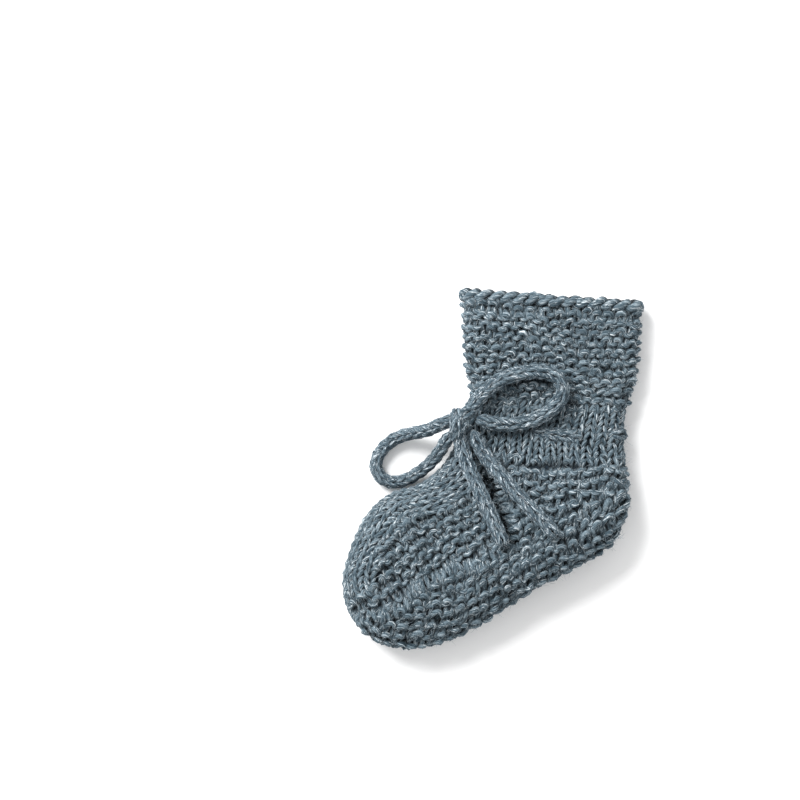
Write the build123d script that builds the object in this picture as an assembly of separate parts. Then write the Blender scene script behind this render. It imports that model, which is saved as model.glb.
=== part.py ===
"""Hand-knit baby bootie with a garter cuff, a laced ankle and a tied bow, laid on its side.

Frame: millimetres, +Z up from the table, +Y from the sole towards the cuff, and the toe
towards -X and -Y.  The origin is the middle of the bootie's box, without its lace, on the table.
"""

import math
import os

from build123d import *

# ---- fabric -----------------------------------------------------------------------------
WALL = 3.2               # thickness of one layer of knitting
INNER_MARGIN = 0.8       # the layer is this much thicker where it folds round an edge
EDGE_ROUND = 5.6         # how round the flattened tube is along its edges
LEG_HEIGHT = 13.5        # two layers and the air between them, at cuff and ankle
FOOT_HEIGHT = 23.0       # the same over the middle of the foot
TOE_HEIGHT = 19.0        # and at the toe
MID_SEAM_Z = 9.0         # height where the upper and lower side walls of the foot meet
SKIRT = 30.0             # how far helper solids reach past the bootie

# Edge of the flattened bootie, from the front of the mouth down the shin, along the instep,
# round the toe, along the sole, round the heel and up the back to the mouth.
OUTLINE = [
    (-10.7, 63.5), (-9.4, 40.0), (-7.6, 27.0), (-9.4, 18.5), (-12.9, 9.6), (-18.2, 1.1),
    (-26.4, -5.0), (-36.1, -8.0), (-43.8, -14.5), (-49.7, -25.5), (-53.1, -39.5),
    (-51.0, -50.5), (-43.0, -60.0), (-30.0, -63.6), (-15.4, -60.2), (15.0, -42.4),
    (34.3, -31.8), (43.6, -24.5), (48.0, -14.0), (48.2, -3.0), (47.1, 9.0), (47.4, 20.0),
    (50.9, 31.0), (52.5, 44.0), (53.1, 59.0),
]
# Height of the upper side over the table, from the ankle to the toe.
ROOF = [(16.0, LEG_HEIGHT), (0.0, 18.6), (-14.0, 22.3), (-30.0, FOOT_HEIGHT), (-66.0, TOE_HEIGHT)]

# ---- ankle joint: a round inner edge turning inside a round outer one ---------------------
ANKLE = (18.2, 15.0)     # axis of the ankle's flex, in the middle of the laced band
JOINT_R = 28.5           # half the ankle's width
JOINT_GAP = 0.35         # between the two round edges
HORN_ANGLE = 24.0        # where the shaft's edge starts, above the level of the axis
SWING = 20.0             # the shaft tilts this far each way

# ---- sections of the knitting --------------------------------------------------------------
EDGING = 4.6             # cast-on edging along the mouth
BAND_BOTTOM = 3.5        # lower edge of the smooth ankle band
SOLE_STRIP = 8.0         # depth of the sole's garter strip from the edge
SOLE_SPAN = slice(12, 18)    # the outline's points that the sole runs along
HEEL_FRONT = 16.0        # front edge of the heel piece
SEAM = 1.8               # the sewn ridge inside the back edge and the sole
SEAM_Z = {"leg": 6.0, "foot": 9.0}   # its height over the table
SEAM_LOW_Y = -10.0       # lower end of the back seam
# Line where the side walls are picked up from the instep's flap, from the ankle to the toe.
PICK_UP = [(-2.0, BAND_BOTTOM), (4.5, -12.0), (3.0, -25.5), (-9.0, -31.5), (-26.0, -40.0),
           (-40.0, -47.5), (-62.0, -52.0)]

# ---- lace -----------------------------------------------------------------------------------
LACE = 5.0               # diameter of the knitted cord
LACE_GROOVE = 2.3        # depth of the channel that the lace runs in
LACE_Y = (11.0, 15.8)    # the channel's lower and upper edge
KNOT = (-10.9, 18.0, 18.9)
KNOT_SIZE = (5.0, 5.4, 4.5)

FRONT_LOOP = [
    (-13.6, 18.8, 18.6), (-18.4, 17.0, 14.6), (-23.8, 14.3, 9.6), (-29.2, 13.5, 5.6),
    (-34.4, 12.0, 3.4), (-38.8, 8.6, 2.8), (-41.6, 4.4, 2.7), (-41.7, 0.2, 2.7),
    (-39.2, -3.2, 2.7), (-35.2, -4.4, 2.8), (-31.0, -3.3, 3.6), (-27.0, -1.1, 5.0),
    (-23.4, 1.6, 7.0), (-20.3, 4.9, 9.6), (-17.6, 9.0, 12.6), (-15.0, 13.6, 16.2),
]
SIDE_LOOP = [
    (-9.0, 21.0, 19.3), (-6.3, 24.6, 17.6), (-3.0, 28.4, 16.9), (1.0, 31.8, 16.6),
    (6.0, 34.2, 16.5), (11.4, 35.4, 16.5), (16.8, 35.7, 16.5), (21.4, 34.8, 16.5),
    (24.6, 31.8, 16.5), (25.2, 27.6, 16.5), (22.8, 23.8, 16.5), (19.0, 20.6, 16.5),
    (14.2, 18.2, 16.5), (9.0, 16.9, 16.6), (3.8, 16.7, 16.8), (-1.2, 17.4, 17.4),
    (-6.0, 18.6, 18.6),
]
FRONT_TAIL = [
    (-12.2, 14.2, 19.4), (-11.4, 9.4, 19.5), (-9.7, 4.2, 20.2), (-7.4, -1.4, 22.3),
    (-4.6, -7.2, 24.0), (-1.8, -13.2, 25.2), (0.9, -19.4, 25.7), (3.9, -25.8, 25.8),
]
SIDE_TAIL = [
    (-7.8, 14.2, 18.6), (-5.2, 9.6, 18.8), (-2.2, 4.6, 20.1), (1.8, -0.4, 22.0),
    (6.4, -5.4, 23.8), (11.4, -11.0, 25.1), (16.8, -16.4, 25.7), (22.4, -22.6, 25.8),
]


def inward(points, distance):
    """The points moved towards the inside of the outline, square to it."""
    moved = []
    last = len(points) - 1
    for i, (x, y) in enumerate(points):
        ax, ay = points[max(i - 1, 0)]
        bx, by = points[min(i + 1, last)]
        run = math.hypot(bx - ax, by - ay)
        moved.append((x - (by - ay) / run * distance, y + (bx - ax) / run * distance))
    return moved


def footprint(inset=0.0):
    """The bootie's outline on the table; an inset one runs on out of the mouth."""
    points = inward(OUTLINE, inset)
    if inset:
        (fx, fy), (bx, by) = points[0], points[-1]
        edge = Polyline((bx, by), (bx, by + SKIRT), (fx, fy + SKIRT), (fx, fy))
    else:
        edge = Line(points[-1], points[0])
    return make_face([Spline(*points), edge])


def under_roof(drop):
    """Everything below the upper side, or below a level inside it."""
    ridge = [(y, z - drop) for y, z in ROOF]
    ankle_y, leg_z = ridge[0]
    flat = Line((OUTLINE[0][1] + 2 * SKIRT, leg_z), (ankle_y, leg_z))
    rise = Spline(*ridge, tangents=((-1, 0), (-1, -0.1)))
    toe_y, toe_z = ridge[-1]
    rest = Polyline((toe_y, toe_z), (toe_y, -SKIRT), (OUTLINE[0][1] + 2 * SKIRT, -SKIRT),
                    (OUTLINE[0][1] + 2 * SKIRT, leg_z))
    profile = Plane.YZ * make_face([flat, rise, rest])
    return extrude(profile, 4 * SKIRT, both=True)


def inner_body(inset, drop):
    """The space inside a wall of the given thickness, open at the mouth."""
    block = Pos(0, 0, drop) * extrude(footprint(inset), FOOT_HEIGHT)
    return block & under_roof(drop)


def outer_body():
    """The whole bootie as one rounded cushion, before it is hollowed."""
    block = extrude(footprint(), FOOT_HEIGHT + SKIRT) & under_roof(0.0)
    mouth_y = OUTLINE[-1][1] - 1.0
    rim = [e for e in block.edges()
           if abs(e.tangent_at(0.5).Z) < 0.7 and (e @ 0.5).Y < mouth_y
           and abs((e @ 0).X - (e @ 1).X) + abs((e @ 0).Y - (e @ 1).Y) > 0.01]
    across = [e for e in rim if abs((e @ 0).Y - (e @ 1).Y) < 0.01]
    return fillet([e for e in rim if e not in across], EDGE_ROUND)


def prism(points):
    """A tall block over a polygon."""
    return extrude(make_face(Polyline(*points, close=True)), 2 * SKIRT, both=True)


def slab(z_low, z_high):
    """A flat layer that reaches past the bootie on every side."""
    side = 10 * SKIRT
    return Pos(0, 0, (z_low + z_high) / 2) * Box(side, side, z_high - z_low)


def disc(radius):
    """A tall cylinder on the ankle's axis."""
    return Pos(*ANKLE, 0) * Cylinder(radius, 4 * SKIRT)


def shaft_zone():
    """Where the shaft is: above the ankle's round edge and between its two horns."""
    reach = 4 * SKIRT
    rise = math.radians(HORN_ANGLE)
    ax, ay = ANKLE
    back = (ax + reach * math.cos(rise), ay + reach * math.sin(rise))
    front = (ax - reach * math.cos(rise), ay + reach * math.sin(rise))
    above = prism([ANKLE, back, (back[0], ay + reach), (front[0], ay + reach), front])
    return above - disc(JOINT_R + JOINT_GAP)


def foot_zone():
    """Where the foot and the laced band are: inside the round edge and below the axis."""
    side = 10 * SKIRT
    below = Pos(0, ANKLE[1] - side / 2, 0) * Box(side, side, 4 * SKIRT)
    return below + disc(JOINT_R)


def edging_zone():
    """A strip along the slanted mouth."""
    (fx, fy), (bx, by) = OUTLINE[0], OUTLINE[-1]
    slope = (by - fy) / (bx - fx)
    front_x, back_x = fx - SKIRT, bx + SKIRT
    front_y = fy - slope * SKIRT - EDGING
    back_y = by + slope * SKIRT - EDGING
    return prism([(front_x, front_y), (back_x, back_y), (back_x, back_y + SKIRT),
                  (front_x, front_y + SKIRT)])


def sole_zone():
    """A strip along the straight edge of the sole, from the toe to the heel."""
    edge = OUTLINE[SOLE_SPAN]
    outside = inward(edge, -SKIRT / 2)
    inside = inward(edge, SOLE_STRIP)
    return prism(outside + inside[::-1])


def instep_zone():
    """Everything in front of the line where the side walls are picked up."""
    toe_x, toe_y = PICK_UP[-1]
    return prism(PICK_UP + [(toe_x - SKIRT, toe_y), (toe_x - SKIRT, BAND_BOTTOM)])


def half_plane(x=None, y=None):
    """Everything behind an x, or everything above a y."""
    side = 10 * SKIRT
    if x is not None:
        return Pos(x + side / 2, 0, 0) * Box(side, side, side)
    return Pos(0, y + side / 2, 0) * Box(side, side, side)


def seam_ridge(outer, level):
    """The sewn ridge all round the inside, at one height."""
    outside = outer & inner_body(WALL + INNER_MARGIN, WALL)
    inside = inner_body(WALL + INNER_MARGIN + SEAM, WALL)
    return (outside - inside) & slab(level, level + SEAM)


def lace_channel(outer):
    """The lace's run round the ankle, just under the smooth stitches."""
    low, high = LACE_Y
    ring = outer - inner_body(LACE_GROOVE, LACE_GROOVE)
    return ring & half_plane(y=low) - half_plane(y=high)


def cord_path(points):
    """Straight runs joined by arcs as large as the runs allow."""
    radii = []
    vectors = [Vector(*p) for p in points]
    for before, here, after in zip(vectors, vectors[1:], vectors[2:]):
        turn = math.radians((here - before).get_angle(after - here))
        shorter = min((here - before).length, (after - here).length)
        radii.append(0.45 * shorter / math.tan(turn / 2))
    return FilletPolyline(*points, radius=radii), radii


def cord(name, points):
    """A plain round tube along a route."""
    path, radii = cord_path(points)
    tube = sweep((path ^ 0) * Circle(LACE / 2), path=path)
    expected = math.pi * (LACE / 2) ** 2 * path.length
    print(f"{name}: length {path.length:.1f} mm, volume {tube.volume:.0f} of {expected:.0f} mm3,"
          f" radii {min(radii):.1f} to {max(radii):.1f} mm")
    return tube


def knot():
    """The tied knot at the front of the ankle, as a plain egg."""
    return Pos(*KNOT) * scale(Sphere(1.0), by=KNOT_SIZE)


def knitted_parts():
    """The sections of the knitting, cut out of one hollow shell."""
    outer = outer_body()
    shell = outer - inner_body(WALL + INNER_MARGIN, WALL)
    shaft = shell & shaft_zone()
    foot = shell & foot_zone()
    lace_run = lace_channel(outer)
    band = (foot & half_plane(y=BAND_BOTTOM)) - lace_run
    below = foot - half_plane(y=BAND_BOTTOM)
    instep = below & instep_zone()
    behind = below - instep_zone()
    sole = behind & sole_zone()
    walls = behind - sole_zone()
    heel = walls & half_plane(x=HEEL_FRONT)
    sides = walls - half_plane(x=HEEL_FRONT)
    back = half_plane(x=HEEL_FRONT)
    leg_seam = seam_ridge(outer, SEAM_Z["leg"]) & back
    foot_seam = seam_ridge(outer, SEAM_Z["foot"])
    return {
        "cast_on_edging": shaft & edging_zone(),
        "cuff": shaft - edging_zone(),
        "ankle_band": band,
        "instep_flap": instep,
        "heel": heel,
        "upper_side_wall": sides & slab(MID_SEAM_Z, 4 * SKIRT),
        "lower_side_wall": sides & slab(-4 * SKIRT, MID_SEAM_Z),
        "sole": sole,
        "back_seam_shaft": leg_seam & shaft_zone(),
        "back_seam_heel": leg_seam & foot_zone() & half_plane(y=SEAM_LOW_Y),
        "sole_seam": foot_seam & sole_zone(),
        "lace_run": lace_run & foot_zone(),
    }


def lace_parts():
    """The tied bow: one knot, two loops and two tails of the same cord."""
    return {
        "bow_knot": knot(),
        "front_loop": cord("front_loop", FRONT_LOOP),
        "side_loop": cord("side_loop", SIDE_LOOP),
        "front_tail": cord("front_tail", FRONT_TAIL),
        "side_tail": cord("side_tail", SIDE_TAIL),
    }


def main():
    os.makedirs("parts", exist_ok=True)
    for name, shape in {**knitted_parts(), **lace_parts()}.items():
        print(name, f"{shape.volume:.0f} mm3", len(shape.solids()), "solids")
        export_step(shape, f"parts/{name}.step")


main()
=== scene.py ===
"""A hand-knit baby bootie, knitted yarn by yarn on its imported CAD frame.

Lengths are millimetres in the row frame until a mesh is made; the lace's routes are in metres.
"""

import math

import bpy
import numpy as np
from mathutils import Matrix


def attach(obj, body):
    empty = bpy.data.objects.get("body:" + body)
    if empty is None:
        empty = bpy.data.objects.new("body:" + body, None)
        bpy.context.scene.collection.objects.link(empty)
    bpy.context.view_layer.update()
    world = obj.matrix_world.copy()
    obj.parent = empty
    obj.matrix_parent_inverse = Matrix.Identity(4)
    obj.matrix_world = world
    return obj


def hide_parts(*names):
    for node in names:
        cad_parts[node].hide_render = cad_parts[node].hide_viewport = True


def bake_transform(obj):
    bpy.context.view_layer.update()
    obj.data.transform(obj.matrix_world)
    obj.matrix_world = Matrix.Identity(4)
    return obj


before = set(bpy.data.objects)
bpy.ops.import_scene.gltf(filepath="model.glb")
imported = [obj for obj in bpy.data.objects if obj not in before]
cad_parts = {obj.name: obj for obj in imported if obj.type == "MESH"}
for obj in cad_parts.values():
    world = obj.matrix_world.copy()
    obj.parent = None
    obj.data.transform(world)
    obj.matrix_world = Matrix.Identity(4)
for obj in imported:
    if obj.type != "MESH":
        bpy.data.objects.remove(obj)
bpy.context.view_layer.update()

MM = 0.001
FOOT, SHAFT = "foot", "shaft"
RANDOM = np.random.default_rng(11)

# ---- the bootie's shape, as in the CAD model ------------------------------------------------
OUTLINE = [
    (-10.7, 63.5), (-9.4, 40.0), (-7.6, 27.0), (-9.4, 18.5), (-12.9, 9.6), (-18.2, 1.1),
    (-26.4, -5.0), (-36.1, -8.0), (-43.8, -14.5), (-49.7, -25.5), (-53.1, -39.5),
    (-51.0, -50.5), (-43.0, -60.0), (-30.0, -63.6), (-15.4, -60.2), (15.0, -42.4),
    (34.3, -31.8), (43.6, -24.5), (48.0, -14.0), (48.2, -3.0), (47.1, 9.0), (47.4, 20.0),
    (50.9, 31.0), (52.5, 44.0), (53.1, 59.0),
]
ROOF = [(70.0, 13.5), (30.0, 13.5), (16.0, 13.5), (0.0, 18.6), (-14.0, 22.3), (-30.0, 23.0),
        (-48.0, 21.6), (-66.0, 19.0)]
PICK_UP = [(-3.0, 3.5), (1.8, -12.0), (0.4, -24.0), (-10.2, -30.0), (-27.2, -38.4),
           (-41.0, -46.2), (-62.0, -51.0)]
HEM = 1.0                # how far the middle of the knitting's edge lies inside the outline
CREASE = [(-5.0, 5.0), (-2.4, -1.5), (1.6, -12.0), (5.4, -22.0), (8.0, -30.0)]
HALF = 2.1               # height of the knitting's middle over the table
UPPER_SHARE = 0.55       # share of the height above the widest level
REACH_Y = 64.0           # the roof's height is read no farther out than this
SWELL_FROM = 6.0         # inset at which the upper side's unevenness is full
CREASE_DEPTH, CREASE_WIDTH = 4.6, 2.7    # the hollow between the lace's tails

# ---- lace: the route's points are those of the CAD tubes, in metres -------------------------
CLOSING = 1.8            # length over which an end of the lace draws together, millimetres
KNOT = (-0.0109, 0.0180, 0.0189)
STRAP_LOWEST = 16.2      # level of the fabric's top under the knot, millimetres
FRONT_LOOP = [
    (-0.0136, 0.0188, 0.0186), (-0.0184, 0.0170, 0.0146), (-0.0238, 0.0143, 0.0096),
    (-0.0292, 0.0135, 0.0056), (-0.0344, 0.0120, 0.0034), (-0.0388, 0.0086, 0.0028),
    (-0.0416, 0.0044, 0.0027), (-0.0417, 0.0002, 0.0027), (-0.0392, -0.0032, 0.0027),
    (-0.0352, -0.0044, 0.0028), (-0.0310, -0.0033, 0.0036), (-0.0270, -0.0011, 0.0050),
    (-0.0234, 0.0016, 0.0070), (-0.0203, 0.0049, 0.0096), (-0.0176, 0.0090, 0.0126),
    (-0.0150, 0.0136, 0.0162),
]
SIDE_LOOP = [
    (-0.0090, 0.0210, 0.0193), (-0.0063, 0.0246, 0.0176), (-0.0030, 0.0284, 0.0169),
    (0.0010, 0.0318, 0.0166), (0.0060, 0.0342, 0.0165), (0.0114, 0.0354, 0.0165),
    (0.0168, 0.0357, 0.0165), (0.0214, 0.0348, 0.0165), (0.0246, 0.0318, 0.0165),
    (0.0252, 0.0276, 0.0165), (0.0228, 0.0238, 0.0165), (0.0190, 0.0206, 0.0165),
    (0.0142, 0.0182, 0.0165), (0.0090, 0.0169, 0.0166), (0.0038, 0.0167, 0.0168),
    (-0.0012, 0.0174, 0.0174), (-0.0060, 0.0186, 0.0186),
]
FRONT_TAIL = [
    (-0.0122, 0.0142, 0.0194), (-0.0114, 0.0094, 0.0195), (-0.0097, 0.0042, 0.0202),
    (-0.0074, -0.0014, 0.0223), (-0.0046, -0.0072, 0.0240), (-0.0018, -0.0132, 0.0252),
    (0.0009, -0.0194, 0.0257), (0.0039, -0.0258, 0.0258),
]
SIDE_TAIL = [
    (-0.0078, 0.0142, 0.0186), (-0.0052, 0.0096, 0.0188), (-0.0022, 0.0046, 0.0201),
    (0.0018, -0.0004, 0.0220), (0.0064, -0.0054, 0.0238), (0.0114, -0.0110, 0.0251),
    (0.0168, -0.0164, 0.0257), (0.0224, -0.0226, 0.0258),
]

# ---- knitting ---------------------------------------------------------------------------------
STITCH = 4.15            # width of a stitch
SOLE_STITCH = 5.1        # the same along the sole, where the rows are longest
GARTER_ROW = 1.98        # height of a garter row: two make a ridge
PLY_TWIST = 0.50         # turn of the plies, radians per millimetre
LOOP_STEPS = 16          # points along the yarn for each stitch
RING = 8                 # points round the yarn
BACK_DEPTH = 0.55        # the backing, in from the knitting's middle
CORE = 8.0               # depth inside the outline of the line that normals point away from
FOLDED = 0.06            # size of a grid cell that has folded up, square millimetres
FIBRES = 0.20            # stray fibres for each millimetre of yarn
FIBRE_R = 0.075
BLOCK = 4000             # plan points compared with a line at a time
OPEN = 9.0               # height of what isn't shaded by the stitches round it
DEEP, HIGH = -0.7, 1.9   # heights where the shade between stitches is full, and gone


def link(obj):
    bpy.context.scene.collection.objects.link(obj)
    return obj


# ---- camera -----------------------------------------------------------------------------------
def add_camera():
    """Straight above, off to one side, as the pair was photographed."""
    camera = link(bpy.data.objects.new("Camera", bpy.data.cameras.new("Camera")))
    camera.data.sensor_width = 36.0
    camera.data.lens = 150.0
    camera.data.clip_end = 10.0
    camera.location = (-0.0330, 0.0255, 1.2020)
    bpy.context.scene.camera = camera


# ---- smooth lines through a few points --------------------------------------------------------
def smooth_line(points, steps=24):
    """A Catmull-Rom line through the points."""
    p = np.array(points, float)
    p = np.vstack([2 * p[0] - p[1], p, 2 * p[-1] - p[-2]])
    gaps = np.linalg.norm(np.diff(p, axis=0), axis=1) ** 0.5
    knots = np.concatenate([[0.0], np.cumsum(gaps)])
    line = []
    for i in range(1, len(p) - 2):
        k0, k1, k2, k3 = knots[i - 1:i + 3]
        t = np.linspace(k1, k2, steps, endpoint=False)[:, None]
        a = p[i - 1] * (k1 - t) / (k1 - k0) + p[i] * (t - k0) / (k1 - k0)
        b = p[i] * (k2 - t) / (k2 - k1) + p[i + 1] * (t - k1) / (k2 - k1)
        c = p[i + 1] * (k3 - t) / (k3 - k2) + p[i + 2] * (t - k2) / (k3 - k2)
        ab = a * (k2 - t) / (k2 - k0) + b * (t - k0) / (k2 - k0)
        bc = b * (k3 - t) / (k3 - k1) + c * (t - k1) / (k3 - k1)
        line.append(ab * (k2 - t) / (k2 - k1) + bc * (t - k1) / (k2 - k1))
    return np.vstack(line + [p[-2][None]])


def run_length(line):
    steps = np.linalg.norm(np.diff(line, axis=0), axis=1)
    return np.concatenate([[0.0], np.cumsum(steps)])


def unit(v):
    return v / np.maximum(np.linalg.norm(v, axis=-1, keepdims=True), 1e-9)


def read_line(at, stations, line):
    """Values of a line at distances along it."""
    return np.stack([np.interp(at, stations, line[:, k]) for k in range(line.shape[1])], axis=-1)


def nearest_index(points, line):
    """For each plan point, which point of a line is nearest."""
    flat = points.reshape(-1, 2)
    found = [((block[:, None] - line[None]) ** 2).sum(axis=2).argmin(axis=1)
             for block in np.array_split(flat, len(flat) // BLOCK + 1)]
    return np.concatenate(found).reshape(points.shape[:-1])


def inward(line):
    """Directions square to a line in plan, on its left."""
    along = unit(np.gradient(line, run_length(line), axis=0))
    return np.stack([-along[:, 1], along[:, 0]], axis=1)


def middle_line():
    """The middle of the knitting's edge, a little inside the outline."""
    line = smooth_line(OUTLINE)
    return line + inward(line) * HEM


EDGE = middle_line()
EDGE_S = run_length(EDGE)
EDGE_N = inward(EDGE)
ROOF_LINE = smooth_line(ROOF)[::-1]
CREASE_LINE = smooth_line(CREASE)[::-1]


def roof(y):
    """Height of the upper side over the table."""
    return np.interp(y, ROOF_LINE[:, 0], ROOF_LINE[:, 1])


def edge_at(s):
    """Points of the outline and their inward directions, by distance along it."""
    return read_line(s, EDGE_S, EDGE), unit(read_line(s, EDGE_S, EDGE_N))


def edge_station(x, y):
    """Distance along the outline of the point nearest to (x, y)."""
    return EDGE_S[np.argmin(np.hypot(EDGE[:, 0] - x, EDGE[:, 1] - y))]


def nearest_edge(xy):
    """For each point: the nearest outline point, its inward direction and the depth inside."""
    index = nearest_index(xy, EDGE)
    q, n = EDGE[index], EDGE_N[index]
    return q, n, ((xy - q) * n).sum(axis=-1)


# ---- the flattened tube's surface ---------------------------------------------------------------
def round_of(y, side):
    """Radius of the rounded edge, above and below the widest level."""
    share = np.where(side > 0, UPPER_SHARE, 1.0 - UPPER_SHARE)
    return share * (roof(y) - 2 * HALF)


def widest_level(y):
    return HALF + (1.0 - UPPER_SHARE) * (roof(y) - 2 * HALF)


def crease(x, y):
    """Depth of the hollow in the upper side, between the lace's tails."""
    off = x - np.interp(y, CREASE_LINE[:, 1], CREASE_LINE[:, 0])
    fade = np.interp(y, [-28.0, -22.0, -3.0, 5.0], [0.0, 1.0, 1.0, 0.0])
    return CREASE_DEPTH * np.exp(-(off / CREASE_WIDTH) ** 2) * fade


def swell(x, y, side):
    """The upper side's soft unevenness, with the crease in it."""
    wave = (np.sin(0.13 * x + 0.09 * y + 0.6) + np.sin(0.07 * x - 0.16 * y + 2.1)
            + 0.6 * np.sin(0.21 * x + 0.18 * y))
    return np.where(side > 0, 0.28 * wave - crease(x, y), 0.0)


def round_edge(depth, y, side):
    """Depth in plan and height, from the distance over the surface from the widest level."""
    r = round_of(y, side)
    turn = np.clip(depth / r, 0.0, math.pi / 2)
    beyond = np.maximum(depth - r * math.pi / 2, 0.0)
    level = widest_level(y)
    return r * (1 - np.cos(turn)) + beyond, level + side * r * np.sin(turn)


def on_surface(plan, z, inset, side):
    """Surface points, with the swell coming in over the rounded edge."""
    z = z + swell(plan[..., 0], plan[..., 1], side) * np.clip(inset / SWELL_FROM, 0, 1)
    return np.concatenate([plan, z[..., None]], axis=-1)


def skin_by_edge(s, depth):
    """Surface points from the distance along the outline and the signed distance in from it."""
    side = np.where(depth >= 0, 1.0, -1.0)
    q, n = edge_at(s)
    y = q[..., 1]
    for _ in range(2):
        inset, z = round_edge(np.abs(depth), y, side)
        plan = q + n * inset[..., None]
        y = plan[..., 1]
    return on_surface(plan, z, inset, side)


def skin_by_plan(xy, side):
    """Surface points from a flattened-out plan, which reaches past the outline."""
    q, n, depth = nearest_edge(xy)
    y = np.clip(xy[..., 1], -REACH_Y, REACH_Y)
    slack = round_of(y, side) * (math.pi / 2 - 1)
    inset, z = round_edge(np.maximum(depth + slack, 0.0), y, side)
    plan = xy + n * (inset - depth)[..., None]
    return on_surface(plan, z, inset, side)


def edge_x(y, front):
    """Where the outline's front or back edge is, at a height up the leg."""
    middle = edge_station(-49.7, -25.5) if front else edge_station(48.0, -14.0)
    line = EDGE[EDGE_S <= middle][::-1] if front else EDGE[EDGE_S >= middle]
    return np.interp(y, line[:, 1], line[:, 0])


def skin_of_leg(turn, front_y, back_y):
    """Surface of the leg's tube: turn 0 to 0.5 crosses the upper side, 0.5 to 1 the lower one."""
    a = np.stack([edge_x(front_y, True), front_y], axis=-1)
    b = np.stack([edge_x(back_y, False), back_y], axis=-1)
    across = unit(b - a)
    width = np.linalg.norm(b - a, axis=-1)
    turn = turn % 1.0
    side = np.where(turn < 0.5, 1.0, -1.0)
    y = (front_y + back_y) / 2
    r = round_of(y, side)
    whole = width - 2 * r + math.pi * r
    share = np.where(turn < 0.5, 2 * turn, 2 - 2 * turn)
    run = share * whole
    from_front = run < whole / 2
    inset, z = round_edge(np.where(from_front, run, whole - run), y, side)
    along = np.where(from_front, inset, width - inset)
    plan = a + across * along[..., None]
    return on_surface(plan, z, inset, side)


# ---- a grid of surface points, read at any stitch and row ------------------------------------------
class Skin:
    """Surface points on an even grid: u counts stitches along a row, v counts rows."""

    def __init__(self, surface, u_range, v_range, fine=4):
        self.u0, self.v0, self.fine = u_range[0], v_range[0], fine
        u = np.arange(int((u_range[1] - u_range[0]) * fine) + 1) / fine + u_range[0]
        v = np.arange(int((v_range[1] - v_range[0]) * fine) + 1) / fine + v_range[0]
        uu, vv = np.meshgrid(u, v)
        found = surface(uu, vv)
        if not isinstance(found, tuple):
            found = (found, None, None)
        self.points, self.shown, self.inner = found
        square = np.cross(np.gradient(self.points, axis=1), np.gradient(self.points, axis=0))
        away = self.away_from_core()
        facing = np.sign((square * away).sum(axis=-1, keepdims=True))
        folded = np.linalg.norm(square, axis=-1, keepdims=True) < FOLDED
        self.normals = np.where(folded, away, unit(square) * facing)

    def away_from_core(self):
        """Outward directions, from a core that runs inside the rounded edge."""
        plan = self.points[..., :2]
        q, n, depth = nearest_edge(plan)
        core = np.where((depth > CORE)[..., None], plan, q + n * CORE)
        level = widest_level(self.points[..., 1])[..., None]
        return unit(self.points - np.concatenate([core, level], axis=-1))

    def cell(self, u, v):
        rows, columns = self.points.shape[:2]
        x = np.clip((u - self.u0) * self.fine, 0, columns - 1.001)
        y = np.clip((v - self.v0) * self.fine, 0, rows - 1.001)
        return x, y

    def at(self, u, v):
        """Position and outward direction, by straight interpolation."""
        x, y = self.cell(u, v)
        i, j = x.astype(int), y.astype(int)
        fx, fy = (x - i)[:, None], (y - j)[:, None]
        found = []
        for grid in (self.points, self.normals):
            low = grid[j, i] * (1 - fx) + grid[j, i + 1] * fx
            high = grid[j + 1, i] * (1 - fx) + grid[j + 1, i + 1] * fx
            found.append(low * (1 - fy) + high * fy)
        return found[0], unit(found[1])

    def spans(self, row, first, last):
        """The stretches of a row that are inside the section, in whole stitches."""
        if self.shown is None:
            return [(first, last)]
        middle = np.arange(math.floor(first), math.ceil(last)) + 0.5
        x, y = self.cell(middle, np.full(len(middle), float(row)))
        inside = self.shown[np.rint(y).astype(int), np.rint(x).astype(int)]
        steps = np.diff(np.concatenate([[0], inside.astype(int), [0]]))
        starts, ends = np.where(steps == 1)[0], np.where(steps == -1)[0]
        return [(middle[a] - 0.5, middle[b - 1] + 0.5) for a, b in zip(starts, ends)]


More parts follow.
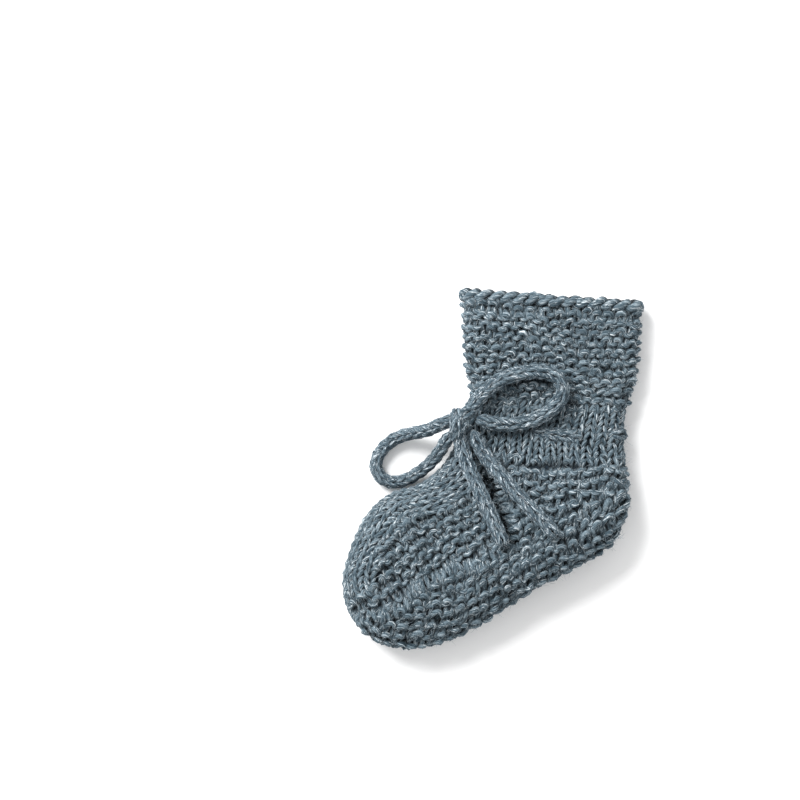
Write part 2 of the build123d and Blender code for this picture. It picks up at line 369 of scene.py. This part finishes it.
# ---- yarn as mesh --------------------------------------------------------------------------------
class Yarns:
    """Collects yarn tubes and backing sheets, and makes one mesh of them."""

    def __init__(self, fibre_reach=3.6):
        self.fibre_reach = fibre_reach
        self.points, self.faces, self.grain, self.slots = [], [], [], []
        self.height = []
        self.count = 0

    def add(self, points, faces, grain, slot, height=OPEN):
        self.points.append(points)
        self.grain.append(grain)
        self.height.append(np.broadcast_to(height, len(points)))
        self.faces.append(faces + self.count)
        self.slots.append(np.full(len(faces), slot))
        self.count += len(points)

    def tube(self, line, outward, radius=0.9, ring=RING, slot=0, rise=0.0):
        """One strand: three plies show as lobes that twist along it."""
        tangent = unit(np.gradient(line, axis=0))
        up = unit(outward - (outward * tangent).sum(axis=1, keepdims=True) * tangent)
        across = np.cross(tangent, up)
        s = run_length(line)
        angle = np.linspace(0, 2 * math.pi, ring, endpoint=False)[None]
        twisted = angle + PLY_TWIST * s[:, None]
        knots = np.arange(0, s[-1] + 8, 4)
        taper = 1 + np.interp(s, knots, RANDOM.normal(0, 0.07, len(knots)))
        taper[[0, -1]], taper[[1, -2]] = 0.2, 0.8
        r = radius * taper[:, None] * (1 + 0.085 * np.cos(3 * twisted))
        points = (line[:, None] + (r * np.cos(angle))[..., None] * across[:, None]
                  + (r * np.sin(angle))[..., None] * up[:, None])
        offset = RANDOM.uniform(0, 500, 3)
        grain = np.stack([np.broadcast_to(s[:, None], r.shape), radius * np.cos(twisted),
                          radius * np.sin(twisted)], axis=-1) + offset
        n = len(line)
        i, k = np.meshgrid(np.arange(n - 1), np.arange(ring), indexing="ij")
        k2 = (k + 1) % ring
        faces = np.stack([i * ring + k, (i + 1) * ring + k, (i + 1) * ring + k2, i * ring + k2],
                         axis=-1).reshape(-1, 4)
        # painted shade: each point's height over the fabric, the strand's top above its under side, is
        # stored to darken the colour in the material
        height = np.broadcast_to(rise, n)[:, None] + r * np.sin(angle)
        self.add(points.reshape(-1, 3), faces, grain.reshape(-1, 3), slot, height.ravel())
        if slot == 0:
            self.stray(line, tangent, up, across, radius, s[-1])

    def stray(self, line, tangent, up, across, radius, length):
        """Fine fibres that have worked out of the strand and lie loosely along it."""
        count = RANDOM.poisson(length * FIBRES)
        if not count:
            return
        at = RANDOM.integers(1, len(line) - 1, count)
        angle = RANDOM.uniform(0.1, math.pi - 0.1, count)
        side = np.cos(angle)[:, None] * across[at] + np.sin(angle)[:, None] * up[at]
        ahead = tangent[at] * RANDOM.choice([-1.0, 1.0], count)[:, None]
        ahead = unit(ahead + 0.5 * RANDOM.normal(0, 1, (count, 3)))
        reach = RANDOM.uniform(0.35, 1.0, count)[:, None, None] * self.fibre_reach
        rise = RANDOM.uniform(0.1, 0.55, count)[:, None, None]
        t = np.linspace(0, 1, 6)[None, :, None]
        curl = RANDOM.normal(0, 0.14 * self.fibre_reach, (count, 1, 3)) * t ** 2
        hair = (line[at] + side * radius * 0.9)[:, None] + ahead[:, None] * reach * t
        hair = hair + side[:, None] * rise * np.sin(math.pi * t * 0.9) * 1.2 + curl
        width = FIBRE_R * (1 - 0.75 * t)
        third = np.cross(ahead, side)
        ring = [hair + width * (math.cos(a) * side[:, None] + math.sin(a) * third[:, None])
                for a in (0.5, 2.6, 4.7)]
        points = np.stack(ring, axis=2).reshape(-1, 3)
        i, k = np.meshgrid(np.arange(5), np.arange(3), indexing="ij")
        cell = np.stack([i * 3 + k, (i + 1) * 3 + k, (i + 1) * 3 + (k + 1) % 3,
                         i * 3 + (k + 1) % 3], axis=-1).reshape(-1, 4)
        faces = (cell[None] + (np.arange(count) * 18)[:, None, None]).reshape(-1, 4)
        self.add(points, faces, points + 300.0, 2)

    def sheet(self, skin, rows=None, slot=1, every=2):
        """The backing inside the loops, which closes the gaps between them; slot 1 colours it with the
        near-black yarn of painted shade.
        """
        points = (skin.points - skin.normals * BACK_DEPTH)[::every, ::every]
        j, i = np.meshgrid(np.arange(points.shape[0] - 1), np.arange(points.shape[1] - 1),
                           indexing="ij")
        wanted = np.ones(j.shape, bool)
        if skin.shown is not None:
            shown = skin.shown[::every, ::every]
            inner = skin.inner[::every, ::every]
            wanted &= shown[:-1, :-1] | shown[1:, 1:] | shown[:-1, 1:] | shown[1:, :-1]
            wanted &= inner[:-1, :-1] & inner[1:, 1:] & inner[:-1, 1:] & inner[1:, :-1]
        if rows is not None:
            level = skin.v0 + (j + 0.5) * every / skin.fine
            wanted &= (level >= rows[0]) & (level < rows[1])
        j, i = j[wanted], i[wanted]
        if not len(j):
            return
        columns = points.shape[1]
        corners = [j * columns + i, j * columns + i + 1, (j + 1) * columns + i + 1,
                   (j + 1) * columns + i]
        used, faces = np.unique(np.stack(corners, axis=-1), return_inverse=True)
        flat = points.reshape(-1, 3)[used]
        self.add(flat, faces.reshape(-1, 4), flat.copy(), slot)

    def build(self, name, materials):
        points = np.vstack(self.points) * MM
        points[:, 2] = np.maximum(points[:, 2], 0.0)
        faces = np.vstack(self.faces)
        mesh = bpy.data.meshes.new(name)
        mesh.vertices.add(len(points))
        mesh.vertices.foreach_set("co", points.astype(np.float32).ravel())
        mesh.loops.add(faces.size)
        mesh.loops.foreach_set("vertex_index", faces.astype(np.int32).ravel())
        mesh.polygons.add(len(faces))
        mesh.polygons.foreach_set("loop_start", np.arange(0, faces.size, 4, dtype=np.int32))
        mesh.polygons.foreach_set("material_index", np.concatenate(self.slots).astype(np.int32))
        mesh.polygons.foreach_set("use_smooth", np.ones(len(faces), bool))
        grain = mesh.attributes.new("grain", "FLOAT_VECTOR", "POINT")
        grain.data.foreach_set("vector", np.vstack(self.grain).astype(np.float32).ravel())
        height = mesh.attributes.new("height", "FLOAT", "POINT")
        height.data.foreach_set("value", np.concatenate(self.height).astype(np.float32))
        mesh.update(calc_edges=True)
        mesh.validate()
        for material in materials:
            mesh.materials.append(material)
        return link(bpy.data.objects.new(name, mesh))


# ---- knitting on a skin -----------------------------------------------------------------------------
GARTER = {"reach": 1.46, "bow": 0.150, "depth": 1.10, "top": 0.34, "radius": 0.96,
          "turned": True}
WALL = {"reach": 1.56, "bow": 0.115, "depth": 1.06, "top": 0.68, "radius": 0.97, "turned": True}
SMOOTH = {"reach": 0.94, "bow": 0.240, "depth": 1.16, "top": 0.0, "radius": 0.75,
          "turned": False}
STRIP = {"reach": 0.98, "bow": 0.240, "depth": 1.10, "top": 0.0, "radius": 0.84,
         "turned": False}
PICKED = {"reach": 0.90, "bow": 0.150, "depth": 1.20, "top": 0.0, "radius": 0.98,
          "turned": False}
CORD = {"reach": 1.0, "bow": 0.235, "depth": 0.58, "top": 0.0, "radius": 0.80}
RIDGE, VALLEY = -0.10, -0.95      # how far the purl rows stand out, and the rows between sink
PLAIN = -0.35                     # how far plain knit rows sink
HOLLOW_SHADE = 0.30               # how much of the crease's depth is added to the depth that sets the painted shade between stitches


def loops(u, row, shape, sign, wobble):
    """The yarn's path over the grid: along, up and out, with every stitch a little different."""
    t = 2 * math.pi * u
    at = (u - u[0]) * 2
    stations = np.arange(int(math.ceil(at[-1])) + 2)
    shift = [np.interp(at, stations, RANDOM.normal(0, wobble, len(stations))) for _ in range(4)]
    along = u + (shape["bow"] + 0.3 * shift[0]) * np.sin(2 * t) + 0.8 * shift[1]
    up = row + (shape["reach"] + shift[2]) * np.cos(t) + 0.9 * shift[1]
    out = sign * shape["depth"] * (1 + 1.6 * shift[3]) * np.cos(2 * t)
    return along, up, out + shape["top"] * np.cos(t)


def bend(along, up, phase):
    """Rows of a real fabric are never straight: all of them wander together."""
    side = 0.20 * np.sin(0.55 * up + 0.31 * along + phase[0])
    rise = (0.42 * np.sin(0.62 * along + 0.17 * up + phase[1])
            + 0.24 * np.sin(1.7 * along - 0.45 * up + phase[2]))
    return along + side, up + rise


def knit(yarns, skin, rows, stitches, shape, thick=1.0, wobble=0.15, phase=(0.4, 2.9, 5.1)):
    """Rows of interlocking loops.  Garter stitch turns every second row over."""
    turned = shape["turned"]
    for row in rows:
        sign = 1.0 if turned and row % 2 else -1.0
        lift = (RIDGE if sign > 0 else VALLEY) if turned else PLAIN
        for first, last in skin.spans(row, *stitches):
            u = np.linspace(first, last, int(round((last - first) * LOOP_STEPS)) + 1)
            along, up, depth = loops(u, row, shape, sign, wobble)
            where, out = skin.at(*bend(along, up, phase))
            line = where + out * (depth + lift)[:, None]
            line[0] -= out[0] * 1.2
            line[-1] -= out[-1] * 1.2
            x, y, z = where.T
            # painted shade: yarn in the crease on the upper side is darkened in the material, as if it
            # lay deeper
            hollow = HOLLOW_SHADE * crease(x, y) * (z > widest_level(y))
            yarns.tube(line, out, shape["radius"] * thick, rise=depth + lift - hollow)


# ---- materials ---------------------------------------------------------------------------------------
def yarn_material(name, dark, middle, light, fleck, fleck_share=0.62):
    """Marled yarn: fine fibres of three blues along the strand, and pale flecks, darkened by painted
    shade where the yarn lies low.
    """
    material = bpy.data.materials.new(name)
    material.use_nodes = True
    nodes, links = material.node_tree.nodes, material.node_tree.links
    shader = nodes["Principled BSDF"]
    shader.inputs["Roughness"].default_value = 0.88
    shader.inputs["Specular IOR Level"].default_value = 0.12
    shader.inputs["Sheen Weight"].default_value = 0.10
    shader.inputs["Sheen Roughness"].default_value = 0.4
    shader.inputs["Sheen Tint"].default_value = (0.70, 0.82, 0.92, 1)
    grain = nodes.new("ShaderNodeAttribute")
    grain.attribute_name = "grain"

    def noise(scale, stretch, detail, rough=0.55):
        mapping = nodes.new("ShaderNodeMapping")
        mapping.inputs["Scale"].default_value = stretch
        texture = nodes.new("ShaderNodeTexNoise")
        texture.inputs["Scale"].default_value = scale
        texture.inputs["Detail"].default_value = detail
        texture.inputs["Roughness"].default_value = rough
        links.new(grain.outputs["Vector"], mapping.inputs["Vector"])
        links.new(mapping.outputs["Vector"], texture.inputs["Vector"])
        return texture.outputs["Fac"]

    def ramp(value, stops):
        node = nodes.new("ShaderNodeValToRGB")
        node.color_ramp.elements[0].position, node.color_ramp.elements[0].color = stops[0]
        node.color_ramp.elements[1].position, node.color_ramp.elements[1].color = stops[-1]
        for position, colour in stops[1:-1]:
            node.color_ramp.elements.new(position).color = colour
        links.new(value, node.inputs["Fac"])
        return node.outputs["Color"]

    fibres = noise(1.0, (0.20, 2.4, 2.4), 4.0, 0.68)
    base = ramp(fibres, [(0.34, (*dark, 1)), (0.50, (*middle, 1)), (0.66, (*light, 1))])
    slubs = noise(1.0, (0.28, 3.3, 3.3), 1.0)
    white = ramp(slubs, [(fleck_share, (0, 0, 0, 1)), (fleck_share + 0.09, (1, 1, 1, 1))])
    mix = nodes.new("ShaderNodeMix")
    mix.data_type = "RGBA"
    links.new(white, mix.inputs["Factor"])
    links.new(base, mix.inputs["A"])
    mix.inputs["B"].default_value = (*fleck, 1)
    # painted shade: the colour is scaled down where the 'height' attribute is low, between stitches and
    # on each strand's under side
    height = nodes.new("ShaderNodeAttribute")
    height.attribute_name = "height"
    shade = nodes.new("ShaderNodeMapRange")
    shade.interpolation_type = "SMOOTHSTEP"
    shade.inputs["From Min"].default_value = DEEP
    shade.inputs["From Max"].default_value = HIGH
    shade.inputs["To Min"].default_value = 0.10
    shade.inputs["To Max"].default_value = 1.0
    links.new(height.outputs["Fac"], shade.inputs["Value"])
    shaded = nodes.new("ShaderNodeVectorMath")
    shaded.operation = "SCALE"
    links.new(mix.outputs["Result"], shaded.inputs[0])
    links.new(shade.outputs["Result"], shaded.inputs["Scale"])
    links.new(shaded.outputs["Vector"], shader.inputs["Base Color"])
    fine = noise(1.0, (0.6, 5.0, 5.0), 2.0, 0.6)
    bump = nodes.new("ShaderNodeBump")
    bump.inputs["Strength"].default_value = 0.55
    bump.inputs["Distance"].default_value = 0.0003
    links.new(fine, bump.inputs["Height"])
    links.new(bump.outputs["Normal"], shader.inputs["Normal"])
    return material


KNIT_YARN = yarn_material("marled_yarn", (0.013, 0.026, 0.036), (0.071, 0.104, 0.127),
                          (0.248, 0.311, 0.350), (0.63, 0.69, 0.72), 0.61)
# the knit's yarn again, made darker all over as painted shade on the lace
LACE_YARN_IN_PAINTED_SHADE = yarn_material("lace_yarn_in_painted_shade", (0.010, 0.020, 0.029), (0.056, 0.083, 0.103),
                          (0.230, 0.292, 0.330), (0.62, 0.68, 0.72), 0.61)
# near-black yarn of painted shade, for the backing sheets between the loops and the cords' cores
PAINTED_SHADE_YARN = yarn_material("yarn_in_shade", (0.005, 0.010, 0.015), (0.012, 0.020, 0.028),
                          (0.024, 0.036, 0.046), (0.05, 0.06, 0.07))
FIBRE = yarn_material("stray_fibre", (0.20, 0.26, 0.30), (0.32, 0.38, 0.42),
                      (0.46, 0.52, 0.56), (0.62, 0.67, 0.70))
KNIT_SET = [KNIT_YARN, PAINTED_SHADE_YARN, FIBRE]
LACE_SET = [LACE_YARN_IN_PAINTED_SHADE, PAINTED_SHADE_YARN, FIBRE]


# ---- the sections of the knitting ------------------------------------------------------------------
AROUND = 30              # stitches round the leg
SEAM_TURN = -0.25        # the rows start and end in the middle of the under side


def leg_surface(front, back, rows):
    """A part of the leg's tube, between two levels of its front and of its back edge."""
    def surface(u, v):
        share = v / rows
        return skin_of_leg(u / AROUND, front[0] + (front[1] - front[0]) * share,
                           back[0] + (back[1] - back[0]) * share)
    return surface


def dress(obj, slot, *nodes):
    """A piece of the ankle or above it: its CAD parts are hidden and its placing is baked into the
    mesh.
    """
    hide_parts(*nodes)
    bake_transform(obj)


def rest_on_foot(obj, slot, *nodes):
    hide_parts(*nodes)
    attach(obj, FOOT)


def knit_tube(name, front, back, rows, shape, slot, node, part=None):
    skin = Skin(leg_surface(front, back, rows), (-AROUND / 2, AROUND + 1), (-2.0, rows + 2.0))
    yarns = Yarns()
    first = SEAM_TURN * AROUND
    low, high = part or (0, rows)
    knit(yarns, skin, range(low, high + 1), (first, first + AROUND + 0.4), shape,
         wobble=0.15 if shape["turned"] else 0.08)
    yarns.sheet(skin, rows=(low - 0.6, high + 0.6))
    dress(yarns.build(name, KNIT_SET), slot, node)


# ---- cast-on edging: two thick strands laid over the rim, and a loose row under them ------------
def make_edging():
    front, back = (57.9, 62.0), (53.9, 57.9)
    skin = Skin(leg_surface(front, back, 2), (-AROUND / 2, AROUND + 1), (-1.5, 3.5))
    yarns = Yarns()
    first = SEAM_TURN * AROUND
    knit(yarns, skin, [0, 1], (first, first + AROUND + 0.4), GARTER, 1.04, 0.18)
    turn = np.linspace(first, first + AROUND, AROUND * 24)
    for strand in range(2):
        twist = 2 * math.pi * (turn * 0.5 + strand / 2)
        loose = np.interp(turn, np.arange(first, first + AROUND + 1),
                          RANDOM.normal(0, 0.18, AROUND + 1))
        where, out = skin.at(turn, 2.50 + 0.56 * np.sin(twist) + 0.5 * loose)
        rise = (1.25 + loose) * np.cos(twist)
        yarns.tube(where + out * rise[:, None], out, 1.28, rise=rise)
    yarns.sheet(skin, rows=(-0.2, 2.2))
    dress(yarns.build("cast_on_edging_knit", KNIT_SET), "garter_knit", "cast_on_edging")


# ---- the foot's sections, drawn on its unrolled plan -----------------------------------------------
STRIP_STITCH = 4.2       # the toe's strip: width of a stitch and height of a row
STRIP_ROW = 3.05
STRIP_LOW, STRIP_HIGH = -2, 4    # stitches of the strip under and over the widest level
FLAP_TURN = math.radians(40)     # how the flap's rows and the sole's edge lie in plan
SOLE_TURN = math.radians(27.6)
BAND_Y = 3.4             # level where the ankle band starts
JOIN_ROW = 3.9           # height of the long stitches along the flap
FLAP_EDGE = smooth_line(PICK_UP)
FLAP_S = run_length(FLAP_EDGE)
FLAP_T = unit(np.gradient(FLAP_EDGE, FLAP_S, axis=0))
FLAP_N = np.stack([-FLAP_T[:, 1], FLAP_T[:, 0]], axis=1)
STRIP_START, STRIP_END = edge_station(-16.5, 3.4), edge_station(-52.6, -45.5)
# points that the side wall's rows work towards
AIM = [(-47, -42), (-40, -37.5), (-30, -33.5), (-18, -28), (-4, -21), (14, -11.5), (34, -1),
       (56, 10.5)]


def beyond_flap(xy):
    """How far a plan point is past the flap's edge, on the side walls' side."""
    near = nearest_index(xy, FLAP_EDGE)
    return ((xy - FLAP_EDGE[near]) * FLAP_N[near]).sum(axis=-1)


def depth_over(xy, side):
    """Distance over the surface from the widest level, for a point of the unrolled plan."""
    _, _, depth = nearest_edge(xy)
    y = np.clip(xy[..., 1], -REACH_Y, REACH_Y)
    return depth + round_of(y, side) * (math.pi / 2 - 1)


def below_turn(xy):
    """The line where the heel's level rows meet the rows along the sole."""
    return xy[..., 1] < -13.0 + 0.16 * (xy[..., 0] - 20.0)


def plan_skin(to_plan, side, u_range, v_range, keep):
    def surface(u, v):
        xy = to_plan(u, v)
        depth = depth_over(xy, side)
        return skin_by_plan(xy, side), keep(xy, depth, side), depth > -0.5
    return Skin(surface, u_range, v_range)


def near_strip(xy):
    """True beside the stretch of the outline that the toe's strip follows."""
    q, _, _ = nearest_edge(xy)
    s = EDGE_S[::4][nearest_index(q, EDGE[::4])]
    return (s > STRIP_START - 3) & (s < STRIP_END)


def strip_reach(side):
    return (STRIP_HIGH if side > 0 else -STRIP_LOW) * STRIP_STITCH


def keep_flap(xy, depth, side):
    in_strip = near_strip(xy) & (depth < strip_reach(side) - 0.5)
    return (beyond_flap(xy) < 2.4) & (xy[..., 1] < BAND_Y) & ~in_strip & (depth > 1.5)


def keep_wall(xy, depth, side):
    return (beyond_flap(xy) > 4.6) & (depth > -0.8) & below_turn(xy)


def keep_heel(xy, depth, side):
    return (beyond_flap(xy) > 3.6) & (depth > -0.8) & ~below_turn(xy) & (xy[..., 1] < BAND_Y)


def flap_plan(u, v):
    across = np.array([math.cos(FLAP_TURN), math.sin(FLAP_TURN)])
    over = np.array([-across[1], across[0]])
    return (np.array([-30.0, -25.0]) + (u * STITCH)[..., None] * across
            + (v * GARTER_ROW)[..., None] * over)


def heel_plan(u, v):
    return np.stack([u * STITCH, BAND_Y + 0.4 - v * GARTER_ROW], axis=-1)


def wall_plan(side):
    """Rows along the sole: from the toe round to the heel, then straight on past it."""
    s = np.linspace(edge_station(-52.0, -47.5), edge_station(32.0, -33.0), 90)
    q, n = edge_at(s)
    out = round_of(q[:, 1], side) * (math.pi / 2 - 1)
    guide = q - n * out[:, None]
    ahead = np.array([math.cos(SOLE_TURN), math.sin(SOLE_TURN)])
    guide = smooth_line(np.vstack([guide[::6], guide[-1] + ahead * 18, guide[-1] + ahead * 36]))
    aim = smooth_line(AIM)
    share = run_length(guide) / run_length(guide)[-1]
    target = read_line(share, run_length(aim) / run_length(aim)[-1], aim)
    heading = unit(target - guide)

    def to_plan(u, v):
        at = u * SOLE_STITCH
        base = read_line(at, run_length(guide), guide)
        way = read_line(at, run_length(guide), heading)
        return base + unit(way) * (v * GARTER_ROW)[..., None]
    return to_plan, run_length(guide)[-1] / SOLE_STITCH


def join_plan(u, v):
    """The long stitches where the side walls were picked up along the flap."""
    at = u * STITCH
    q, n = read_line(at, FLAP_S, FLAP_EDGE), read_line(at, FLAP_S, FLAP_N)
    return q + unit(n) * (v * JOIN_ROW)[..., None]


def keep_join(xy, depth, side):
    in_strip = near_strip(xy) & (depth < strip_reach(side) - 5.0)
    return (depth > 1.5) & (xy[..., 1] < BAND_Y) & ~in_strip


def strip_surface(u, v):
    return skin_by_edge(STRIP_START - 1.0 + v * STRIP_ROW, u * STRIP_STITCH)


def make_foot():
    toe, heel, sole = Yarns(), Yarns(), Yarns()
    flaps = {1.0: Yarns(), -1.0: Yarns()}
    walls = {1.0: Yarns(), -1.0: Yarns()}
    strip_rows = int((STRIP_END - STRIP_START) / STRIP_ROW) + 1
    strip = Skin(strip_surface, (STRIP_LOW - 1, STRIP_HIGH + 1), (-1, strip_rows + 4), fine=6)
    knit(toe, strip, range(strip_rows), (STRIP_LOW, STRIP_HIGH), STRIP, wobble=0.06)
    knit(toe, strip, range(strip_rows, strip_rows + 3), (-1, 1), STRIP, wobble=0.06)
    toe.sheet(strip, rows=(-1, strip_rows + 1))
    for side in (1.0, -1.0):
        flap = flaps[side]
        skin = plan_skin(flap_plan, side, (-14, 18), (-16, 22), keep_flap)
        knit(flap, skin, range(-15, 21), (-13, 17), GARTER, phase=(3.3, 1.2, 0.5))
        flap.sheet(skin)
        skin = plan_skin(join_plan, side, (0, FLAP_S[-1] / STITCH), (-1, 3), keep_join)
        knit(flap, skin, [1], (0, int(FLAP_S[-1] / STITCH)), PICKED, wobble=0.08)
        flap.sheet(skin)
        skin = plan_skin(heel_plan, side, (-3, 16), (-1, 16), keep_heel)
        knit(heel, skin, range(0, 15), (-2, 15), GARTER, wobble=0.18, phase=(5.6, 4.4, 2.2))
        heel.sheet(skin)
        to_plan, count = wall_plan(side)
        skin = plan_skin(to_plan, side, (0, count), (-1, 22), keep_wall)
        knit(sole, skin, range(0 if side > 0 else 1, 4), (0, int(count)), WALL, wobble=0.20)
        sole.sheet(skin, rows=(-1, 4))
        knit(walls[side], skin, range(4, 21), (0, int(count)), WALL, wobble=0.20)
        walls[side].sheet(skin, rows=(4, 22))
    for name, yarns, node in (
        ("toe_strip_knit", toe, "instep_flap"),
        ("upper_flap_knit", flaps[1.0], "instep_flap"),
        ("lower_flap_knit", flaps[-1.0], "instep_flap"),
        ("heel_knit", heel, "heel"),
        ("sole_knit", sole, "sole"),
        ("upper_wall_knit", walls[1.0], "upper_side_wall"),
        ("lower_wall_knit", walls[-1.0], "lower_side_wall"),
    ):
        rest_on_foot(yarns.build(name, KNIT_SET), "garter_knit", node)


# ---- lace ------------------------------------------------------------------------------------------
def route_points(name, route):
    """Points along the smooth line that has the route as its control points, in metres."""
    curve = bpy.data.curves.new(name, "CURVE")
    curve.dimensions = "3D"
    curve.resolution_u = 24
    spline = curve.splines.new("NURBS")
    spline.points.add(len(route) - 1)
    for point, place in zip(spline.points, route):
        point.co = (*place, 1.0)
    spline.order_u = 3
    spline.use_endpoint_u = True
    holder = bpy.data.objects.new(name, curve)
    mesh = bpy.data.meshes.new_from_object(holder)
    points = np.array([vertex.co[:] for vertex in mesh.vertices])
    bpy.data.objects.remove(holder)
    bpy.data.curves.remove(curve)
    bpy.data.meshes.remove(mesh)
    return points


def knit_cord(yarns, path, radius=1.40, columns=3, row=4.1, wide=1.0, flat=0.9):
    """A knitted cord: one strand that goes round and round in loops, over a soft core."""
    s = run_length(path)
    tangent = unit(np.gradient(path, s, axis=0))
    up = np.array([0.0, 0.0, 1.0])
    up = unit(up - tangent * tangent[:, 2:3])
    across = np.cross(tangent, up)
    core = np.where((s > CLOSING) & (s < s[-1] - CLOSING))[0][::3]
    # the core takes slot 1, the near-black yarn of painted shade
    yarns.tube(path[core], up[core], 1.1, ring=10, slot=1, rise=OPEN)
    rounds = s[-1] / row
    u = np.linspace(0.0, rounds * columns, int(rounds * columns * 14))
    along, level, depth = loops(u, u / columns, CORD, -1.0, 0.05)
    at = np.clip(level * row, 0.3, s[-1] - 0.3)
    angle = 2 * math.pi * along / columns + math.pi / 2
    base = read_line(at, s, path)
    up_at, across_at = unit(read_line(at, s, up)), unit(read_line(at, s, across))
    out = np.cos(angle)[:, None] * across_at + np.sin(angle)[:, None] * up_at
    oval = (wide * np.cos(angle)[:, None] * across_at
            + flat * np.sin(angle)[:, None] * up_at)
    close = np.clip(np.minimum(at, s[-1] - at) / CLOSING, 0.3, 1.0)
    line = base + oval * ((radius + depth) * close)[:, None]
    # painted shade: the loops' depth counts 2.6 times over in the darkening, so the insides of the V's
    # sink into shade
    yarns.tube(line, out, CORD["radius"], rise=2.6 * depth)


def free_cord(name, route, wide=1.0, flat=0.9):
    path = route_points(name + "_route", route)
    yarns = Yarns(fibre_reach=1.9)
    knit_cord(yarns, path / MM, wide=wide, flat=flat)
    obj = yarns.build(name + "_knit", LACE_SET)
    rest_on_foot(obj, "lace_cord", name)


def knot_strap(shift, heading, reach, low, high, tilt=0.0):
    """A short stretch of lace drawn over the knot, from one side of it to the other."""
    centre = np.array(KNOT) / MM + (*shift, 0.0)
    way = np.array([math.cos(heading), math.sin(heading), 0.0])
    angle = np.linspace(math.radians(-28), math.radians(208), 60)
    level = low + (high - low) * np.sin(angle)
    line = centre + np.outer(np.cos(angle) * reach, way)
    line[:, 2] = np.maximum(centre[2] + level, STRAP_LOWEST)
    line[:, :2] += np.outer(tilt * np.cos(angle), [-way[1], way[0]])
    return line


def make_knot():
    yarns = Yarns()
    knit_cord(yarns, knot_strap((0.2, 2.0), math.radians(15), 3.4, -1.2, 1.0, 0.6))
    knit_cord(yarns, knot_strap((-2.0, -1.6), math.radians(98), 4.2, -1.0, 3.2, -0.6))
    rest_on_foot(yarns.build("bow_knot_knit", LACE_SET), "lace_cord", "bow_knot")


def make_lace_run():
    """The lace shows where it floats over the band, and round its back edge."""
    yarns = Yarns()
    skin = Skin(leg_surface((3.6, 22.6), (4.2, 22.2), 7), (-AROUND / 2, AROUND + 1), (-1, 8))
    floats = [(6.5, 10.9, 3.9, 2.9), (13.1, 17.0, 3.5, 3.5), (19.2, 23.1, 3.4, 3.4),
              (25.3, 29.1, 3.6, 3.6)]
    for first, last, start, end in floats:
        share = np.linspace(0, 1, 40)
        where, out = skin.at(first + (last - first) * share, start + (end - start) * share)
        rise = 2.3 * np.sin(math.pi * share) ** 0.5 - 1.9
        knit_cord(yarns, where + out * rise[:, None], radius=1.5)
    rest_on_foot(yarns.build("lace_run_knit", LACE_SET), "lace_cord", "lace_run")


# ---- seams: overcast stitches inside the edges -------------------------------------------------------
def overcast(yarns, line, out, pitch=3.4):
    s = run_length(line)
    fine = np.linspace(0, s[-1], int(s[-1] * 5))
    base, normal = read_line(fine, s, line), unit(read_line(fine, s, out))
    ahead = unit(np.gradient(base, axis=0))
    over = np.cross(ahead, normal)
    turn = 2 * math.pi * fine / pitch
    coil = base + normal * (0.9 * np.cos(turn))[:, None] + over * (0.9 * np.sin(turn))[:, None]
    yarns.tube(coil, normal, 0.62)


def inside_edge(first, last, inset=3.6):
    s = np.linspace(edge_station(*first), edge_station(*last), 80)
    q, n = edge_at(s)
    plan = q + n * inset
    out = np.concatenate([n, np.zeros((len(s), 1))], axis=1)
    return np.concatenate([plan, widest_level(plan[:, 1])[:, None]], axis=1), out


def sew(name, first, last):
    yarns = Yarns()
    overcast(yarns, *inside_edge(first, last))
    return yarns.build(name, KNIT_SET)


def make_seams():
    dress(sew("back_seam_shaft_sewn", (48.6, 24.0), (52.6, 54.5)), "seam_yarn", "back_seam_shaft")
    heel = sew("back_seam_heel_sewn", (48.0, -8.0), (47.6, 21.0))
    rest_on_foot(heel, "seam_yarn", "back_seam_heel")
    sole = sew("sole_seam_sewn", (-48.0, -54.0), (43.6, -24.5))
    rest_on_foot(sole, "seam_yarn", "sole_seam")


# ---- floor and light ---------------------------------------------------------------------------------
def add_floor():
    mesh = bpy.data.meshes.new("floor")
    mesh.from_pydata([(-3, -3, 0), (3, -3, 0), (3, 3, 0), (-3, 3, 0)], [], [(0, 1, 2, 3)])
    floor = link(bpy.data.objects.new("floor", mesh))
    material = bpy.data.materials.new("pale_floor")
    material.use_nodes = True
    shader = material.node_tree.nodes["Principled BSDF"]
    shader.inputs["Base Color"].default_value = (0.96, 0.96, 0.96, 1)
    shader.inputs["Roughness"].default_value = 0.9
    mesh.materials.append(material)


def add_light(name, position, size, energy):
    light = bpy.data.lights.new(name, "AREA")
    light.size = size
    light.energy = energy
    lamp = link(bpy.data.objects.new(name, light))
    lamp.location = position
    direction = -np.array(position)
    lamp.rotation_euler = (math.atan2(math.hypot(direction[0], direction[1]), -direction[2]), 0,
                           math.atan2(direction[1], direction[0]) - math.pi / 2)


def add_world():
    world = bpy.data.worlds.new("world")
    world.use_nodes = True
    sky = world.node_tree.nodes["Background"]
    sky.inputs["Color"].default_value = (1, 1, 1, 1)
    sky.inputs["Strength"].default_value = 0.88
    bpy.context.scene.world = world
    bpy.context.scene.view_settings.view_transform = "Standard"


# ---- making: the camera and the cords first ----------------------------------------------------
add_camera()
free_cord("front_loop", FRONT_LOOP, wide=0.86, flat=1.0)
free_cord("side_loop", SIDE_LOOP)
free_cord("front_tail", FRONT_TAIL)
free_cord("side_tail", SIDE_TAIL)
make_knot()
make_lace_run()
knit_tube("ankle_band_knit", (3.6, 24.4), (4.2, 22.8), 8, SMOOTH, "stocking_knit", "ankle_band")
for name, part in (("lower_cuff_knit", (-1, 8)), ("upper_cuff_knit", (9, 17))):
    knit_tube(name, (26.8, 57.4), (25.2, 53.4), 17, GARTER, "garter_knit", "cuff", part)
make_edging()
make_foot()
make_seams()
add_floor()
add_world()
add_light("key", (-0.72, 0.82, 1.0), 0.75, 34.0)
